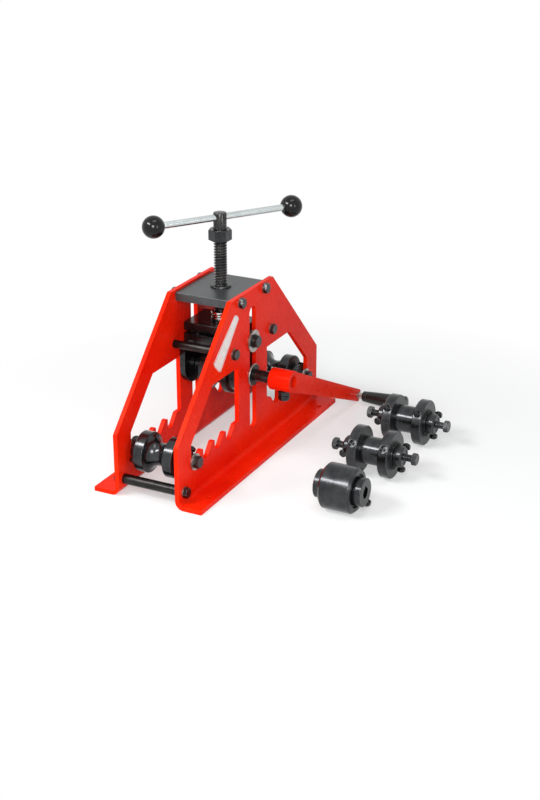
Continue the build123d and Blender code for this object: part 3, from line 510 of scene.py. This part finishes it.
finishes = {
    "near_side_plate": red, "far_side_plate": red, "crank_hub": red, "crank_arm": red,
    "top_plate": topPlateSteel, "upper_spacers": spacerSteel, "lower_spacers": spacerSteel,
    "frame_washers": washerSteel, "grip_spindle": washerSteel, "spindle_nut": washerSteel,
    "guide_bolts": ringedSteel("guideFinish", "guide_bolts", guideRing),
    "shaft_bushes": ringedSteel("bushFinish", "shaft_bushes", guideRing),
    "left_axle_bolts": ringedSteel("leftAxleFinish", "left_axle_bolts", axleRing),
    "right_axle_bolts": ringedSteel("rightAxleFinish", "right_axle_bolts", axleRing),
    "thrust_lower_race": bearingSteel, "thrust_upper_race": bearingSteel, "thrust_ball_cage": bearingSteel,
    "tommy_bar": zincBar, "left_ball_knob": knobPlastic, "right_ball_knob": knobPlastic,
    "crank_grip": gripPlastic, "left_roller_bushes": bronze, "right_roller_bushes": bronze,
}
lathedNodes = (
    "centre_roller", "left_collars", "right_collars", "left_axle", "right_axle", "drive_shaft",
    "spare_front_discs", "spare_rear_discs", "spare_front_collars", "spare_rear_collars",
    "spare_front_axle", "spare_rear_axle", "spare_centre_roller",
)
polishedNodes = ("left_roller", "right_roller", "spare_front_core", "spare_rear_core")
for names, look in ((lathedNodes, lathedLook), (polishedNodes, polishedLook)):
    for name in names:
        finishes[name] = blackSteel(name + "Steel", look, nodeCentre(name))
for name, node in nodes.items():
    node.data.materials.clear()
    node.data.materials.append(finishes.get(name, boltSteel))
print("materials on every node")


# Feed screw: a thread below the lock nut, a plain head with a cross hole, a plain foot

upright = (0, 0, 1)
screw = {
    "top": 0.444, "split": 0.404, "shoulder": 0.2635, "foot": 0.2243,
    "major": 0.0119, "minor": 0.0089, "pitch": 0.005, "segments": 72, "stepsPerTurn": 12,
    "stub": 0.01, "stubBreak": 0.0008,
    "rim": 0.002, "rimPoints": ((1, 0), (0.3, 0.4), (0, 1.4)),  # down and inwards, in rims
    "hole": 0.435, "holeRadius": 0.0061, "cutterReach": 0.03, "cutterSegments": 64,
}


def makeScrewHead():
    # the rim of the head is broken in two short slopes, and the tommy bar's hole is cut through it
    r, top, rim = screw["major"], screw["top"], screw["rim"]
    profile = [(screw["split"], r)]
    profile += [(top - rim * down, r - rim * inwards) for down, inwards in screw["rimPoints"]]
    head = turned("screwHead", (0, 0, 0), upright, profile)
    reach, hole = screw["cutterReach"], screw["holeRadius"]
    cutterProfile = [(-reach, hole), (reach, hole)]
    cutter = turned("crossHole", (0, 0, screw["hole"]), barAxis, cutterProfile, screw["cutterSegments"])
    cut = head.modifiers.new("hole", "BOOLEAN")
    cut.operation = "DIFFERENCE"
    cut.object = cutter
    cut.solver = "EXACT"
    bpy.context.view_layer.update()
    shape = bpy.data.meshes.new_from_object(head.evaluated_get(bpy.context.evaluated_depsgraph_get()))
    head.modifiers.clear()
    head.data = shape
    smoothMesh(shape, creaseAngle)
    bpy.data.objects.remove(cutter)
    return head


def makeScrew():
    thread = {**screw, "length": screw["split"] - screw["shoulder"]}
    body = threaded("screwThread", (0, 0, screw["shoulder"]), upright, thread)
    head = makeScrewHead()
    stub, rim = screw["stub"], screw["stubBreak"]
    profile = [(screw["foot"], stub - rim), (screw["foot"] + rim, stub), (screw["shoulder"], stub)]
    foot = turned("screwFoot", (0, 0, 0), upright, profile)
    for piece in (body, head, foot):
        placePiece(piece, screwSteel, "feed_screw", "black_steel", "lead_screw")


makeScrew()
print("feed screw made")


# Ball knobs: a ball with a flat seat where the bar goes in

knob = {
    "radius": 0.02, "seat": 0.018, "bore": 0.0062,
    "height": 0.435, "spacing": 0.272,
    "offset": 0.008,  # of the bar's middle from the screw's axis
    "poleRadius": 1e-5,  # of the cap at the far pole
    "steps": 72, "segments": 128,
}


def makeKnob(name, side, node):
    radius, seat = knob["radius"], knob["seat"]
    profile = [(-seat, knob["bore"])]
    for t in np.linspace(math.acos(seat / radius), math.pi, knob["steps"]):
        profile.append((-radius * math.cos(t), max(radius * math.sin(t), knob["poleRadius"])))
    outward = np.array(barAxis) * side
    reach = knob["offset"] + side * knob["spacing"] / 2
    centre = np.array([0, 0, knob["height"]]) + np.array(barAxis) * reach
    piece = turned(name, centre, outward, profile, knob["segments"])
    placePiece(piece, knobPlastic, "tommy_bar", "black_knob", node)


makeKnob("leftKnob", -1, "left_ball_knob")
makeKnob("rightKnob", 1, "right_ball_knob")
print("ball knobs made")


# Crank grip: tapered, with rounded ends and two shallow rings near its root

grip = {
    "root": 0.010, "end": 0.0155, "taperShare": 0.84, "taperPower": 0.85,
    "bore": 0.0068, "mouth": (0.0008, 0.0056),
    "rootRound": 0.03, "endFrom": 0.955, "endRound": 0.047,
    "rings": (0.07, 0.10), "ringDepth": 0.0004, "ringWidth": 0.006,
    "steps": 110,
}


def quarterRound(share):
    # 1 while the share is 0 or less, and down to 0 along a quarter circle as it reaches 1
    return np.sqrt(np.clip(1 - np.clip(share, 0, 1) ** 2, 0, 1))


def makeGrip():
    # s runs from 0 at the root to 1 at the end, and so do the shares in grip
    low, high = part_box("crank_grip")
    x, z = (low.x + high.x) / 2, (low.z + high.z) / 2
    length = high.y - low.y
    s = np.linspace(0, 1, grip["steps"])
    taper = np.clip(s / grip["taperShare"], 0, 1) ** grip["taperPower"]
    body = grip["root"] + (grip["end"] - grip["root"]) * taper
    rootRound = quarterRound((grip["rootRound"] - s) / grip["rootRound"])
    endRound = quarterRound((s - grip["endFrom"]) / grip["endRound"])
    rings = sum(grip["ringDepth"] * np.exp(-((s - c) / grip["ringWidth"]) ** 2) for c in grip["rings"])
    r = grip["bore"] + (body - grip["bore"]) * rootRound * endRound - rings
    profile = [grip["mouth"]] + [(t * length, q) for t, q in zip(s, r)]
    piece = turned("gripBody", (x, high.y, z), (0, -1, 0), profile)
    placePiece(piece, gripPlastic, "grip", "black_grip", "crank_grip")


makeGrip()


# Bare label on the near plate, above its left window

label = {
    "corners": ((-0.0657, 0.2859), (-0.0514, 0.2751), (-0.1229, 0.1958), (-0.1477, 0.2199)),
    "face": -0.0636, "lift": 0.0003, "sunk": 0.00005,
    "steps": (25, 97), "cornerRound": 0.09, "cornerPowers": (6, 90),
    "width": 0.0145,
    "line": 0.0011, "lineHalfWidth": 0.0003,
}
vinylLook = {
    "pale": (0.86, 0.82, 0.81), "yellowed": (0.78, 0.70, 0.68), "line": (0.62, 0.05, 0.03),
    "toneScale": 120, "tones": (0.35, 0.65),
    "roughness": 0.3, "grainScale": 300, "grainDepth": 0.00003, "bump": 0.15,
}


def labelVinyl():
    # plain pale vinyl, a little yellowed, with a thin red line just inside its edge
    look = vinylLook
    material, tree, shader = newMaterial("labelVinyl")
    point = objectPoint(tree)
    tone = remap(tree, noise(tree, point, look["toneScale"]), *look["tones"])
    vinyl = mixColours(tree, tone, look["yellowed"], look["pale"])
    rim = tree.nodes.new("ShaderNodeAttribute")
    rim.attribute_name = "rim"
    fromLine = mathNode(tree, "SUBTRACT", rim.outputs["Fac"], label["line"])
    line = mathNode(tree, "LESS_THAN", mathNode(tree, "ABSOLUTE", fromLine), label["lineHalfWidth"])
    link(tree, mixColours(tree, line, vinyl, look["line"]), shader.inputs["Base Color"])
    shader.inputs["Roughness"].default_value = look["roughness"]
    grain = noise(tree, point, look["grainScale"], detail=2)
    bump(tree, shader, grain, look["grainDepth"], strength=look["bump"])
    return material


def makeLabel():
    # a thin slanted strip on the outer face: a grid between four corners, drawn in a little at each corner;
    # the attribute rim is the distance in from the outline
    corners = np.array(label["corners"])
    rows, columns = label["steps"]
    u, v = np.meshgrid(np.linspace(0, 1, rows), np.linspace(0, 1, columns), indexing="ij")
    top = corners[0] + (corners[1] - corners[0]) * u[..., None]
    bottom = corners[3] + (corners[2] - corners[3]) * u[..., None]
    flat = top + (bottom - top) * v[..., None]
    middle = flat.mean((0, 1))
    acrossPower, downPower = label["cornerPowers"]
    nearCorner = np.abs(2 * u - 1) ** acrossPower * np.abs(2 * v - 1) ** downPower
    flat = flat + (middle - flat) * (label["cornerRound"] * nearCorner)[..., None]
    length = np.linalg.norm((corners[2] + corners[3] - corners[0] - corners[1]) / 2)
    rim = np.minimum(np.minimum(u, 1 - u) * label["width"], np.minimum(v, 1 - v) * length)
    levels = [np.full(u.shape, label["face"] + step) for step in (-label["lift"], label["sunk"])]
    skins = [np.stack([flat[..., 0], y, flat[..., 1]], -1).reshape(-1, 3) for y in levels]
    count = rows * columns
    quads = np.array(gridFaces(rows, columns, wrap=False))
    around = [i * columns for i in range(rows)] + [(rows - 1) * columns + j for j in range(1, columns)]
    around += [i * columns + columns - 1 for i in range(rows - 2, -1, -1)] + list(range(columns - 2, 0, -1))
    faces = quads.tolist() + (quads[:, ::-1] + count).tolist()
    faces += [[a, b, b + count, a + count] for a, b in zip(around, around[1:] + around[:1])]
    piece = meshObject("label", np.concatenate(skins), faces)
    turnOutwards(piece)
    stored = piece.data.attributes.new("rim", "FLOAT", "POINT")
    stored.data.foreach_set("value", np.concatenate([rim.ravel(), rim.ravel()]))
    placePiece(piece, labelVinyl(), "frame", "red_paint")


makeLabel()
print("grip and label made")


# Threads that show between the heads and the axles of the spare sets

boltThread = {
    "length": 0.0157, "pitch": 0.00175, "major": 0.0064, "minor": 0.00602, "segments": 48, "stepsPerTurn": 10,
    "sunk": 0.0005,  # into the end of the axle
}


def makeSpareThreads():
    for side in ("front", "rear"):
        low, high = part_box("spare_%s_axle" % side)
        x, z = (low.x + high.x) / 2, (low.z + high.z) / 2
        for outward, start, end in ((-1, low.y, "Near"), (1, high.y, "Far")):
            origin = (x, start - outward * boltThread["sunk"], z)
            name = "spare%sThread%s" % (side.title(), end)
            piece = threaded(name, origin, (0, outward, 0), boltThread)
            placePiece(piece, boltSteel, "spare_" + side, "black_steel")


makeSpareThreads()
print("spare threads made")


# Floor, light and camera

floorLook = {
    "colour": (0.90, 0.925, 0.925), "roughness": 0.6, "specular": 0.2,
    "radius": 40, "vertices": 96, "drop": 0.0005,
    "middle": (0, -0.15, 0), "shadeLift": 0.42, "whiteFrom": 0.33, "whiteTo": 0.8,
}
sky = {"dim": 0.16, "zenith": 0.22}
lights = {
    "keyLight": {"place": (-2.25, -1.05, 1.45), "target": (0, 0, 0.15), "size": (0.9, 0.9), "power": 40},
    "leftLight": {"place": (-1.5, 0.9, 1.8), "target": (0, -0.1, 0.1), "size": (1.3, 0.35), "power": 40},
    "topLight": {"place": (-0.3, -0.5, 2.5), "target": (0, 0, 0.1), "size": (1.2, 0.5), "power": 9},
    "sideLight": {"place": (-0.9, -2.3, 1.0), "target": (0.1, 0, 0.15), "size": (0.35, 1.0), "power": 8},
}
view = {
    "place": (-2.204, -1.206, 1.149), "yaw": 63.31, "pitch": 22.91,
    "sensor": 36, "lens": 66.735, "near": 0.05, "far": 200,
}


def seenByEye(tree):
    # 1 for camera, glossy and transmission rays
    path = tree.nodes.new("ShaderNodeLightPath")
    eye = mathNode(tree, "MAXIMUM", path.outputs["Is Camera Ray"], path.outputs["Is Glossy Ray"])
    return mathNode(tree, "MAXIMUM", eye, path.outputs["Is Transmission Ray"])


def makeFloor():
    # pale and matt, going over to plain white away from the machine, so that no horizon shows
    bpy.ops.mesh.primitive_circle_add(
        vertices=floorLook["vertices"], radius=floorLook["radius"], fill_type="NGON",
        location=(0, 0, -floorLook["drop"]),
    )
    floor = bpy.context.object
    floor.name = "floor"
    material, tree, shader = newMaterial("paleFloor")
    shader.inputs["Base Color"].default_value = (*floorLook["colour"], 1)
    shader.inputs["Roughness"].default_value = floorLook["roughness"]
    shader.inputs["Specular IOR Level"].default_value = floorLook["specular"]
    away = radiusAbout(tree, objectPoint(tree, floorLook["middle"]), "Z")[0]
    white = remap(tree, away, floorLook["whiteFrom"], floorLook["whiteTo"], floorLook["shadeLift"], 1)
    glow = tree.nodes.new("ShaderNodeEmission")
    mix = tree.nodes.new("ShaderNodeMixShader")
    link(tree, mathNode(tree, "MULTIPLY", white, seenByEye(tree)), mix.inputs[0])
    link(tree, shader.outputs[0], mix.inputs[1])
    link(tree, glow.outputs[0], mix.inputs[2])
    link(tree, mix.outputs[0], tree.nodes["Material Output"].inputs["Surface"])
    floor.data.materials.append(material)


def makeWorld():
    # white where it is seen; as light, brighter overhead and dimmer towards the horizon
    world = bpy.data.worlds.new("studio")
    bpy.context.scene.world = world
    world.use_nodes = True
    tree = world.node_tree
    background = tree.nodes["Background"]
    place = tree.nodes.new("ShaderNodeTexCoord")
    split = tree.nodes.new("ShaderNodeSeparateXYZ")
    link(tree, place.outputs["Generated"], split.inputs[0])
    height = mathNode(tree, "POWER", mathNode(tree, "MAXIMUM", split.outputs["Z"], 0.0), 2)
    strength = mathNode(tree, "ADD", mathNode(tree, "MULTIPLY", height, sky["zenith"]), sky["dim"])
    background.inputs["Color"].default_value = (1, 1, 1, 1)
    eye = seenByEye(tree)
    shade = mathNode(tree, "MULTIPLY", strength, mathNode(tree, "SUBTRACT", 1.0, eye))
    link(tree, mathNode(tree, "ADD", shade, eye), background.inputs["Strength"])


def softLight(name, light):
    lamp = bpy.data.lights.new(name, "AREA")
    lamp.shape = "RECTANGLE"
    lamp.size, lamp.size_y = light["size"]
    lamp.energy = light["power"]
    holder = bpy.data.objects.new(name, lamp)
    holder.location = light["place"]
    ray = Vector(light["target"]) - Vector(light["place"])
    holder.rotation_euler = ray.to_track_quat("-Z", "Y").to_euler()
    bpy.context.scene.collection.objects.link(holder)


def makeCamera():
    # fitted to the side plates' edges in the photograph
    yaw, pitch = math.radians(view["yaw"]), math.radians(view["pitch"])
    ahead = Vector((math.sin(yaw) * math.cos(pitch), math.cos(yaw) * math.cos(pitch), -math.sin(pitch)))
    right = Vector((math.cos(yaw), -math.sin(yaw), 0))
    turn = Matrix((right, right.cross(ahead), -ahead)).transposed().to_4x4()
    data = bpy.data.cameras.new("camera")
    data.sensor_width = view["sensor"]
    data.lens = view["lens"]
    data.clip_start = view["near"]
    data.clip_end = view["far"]
    camera = bpy.data.objects.new("camera", data)
    camera.matrix_world = Matrix.Translation(view["place"]) @ turn
    bpy.context.scene.collection.objects.link(camera)
    bpy.context.scene.camera = camera


makeFloor()
makeWorld()
for name, light in lights.items():
    softLight(name, light)
makeCamera()
bpy.context.scene.view_settings.view_transform = "Standard"
print("floor, lights and camera set")
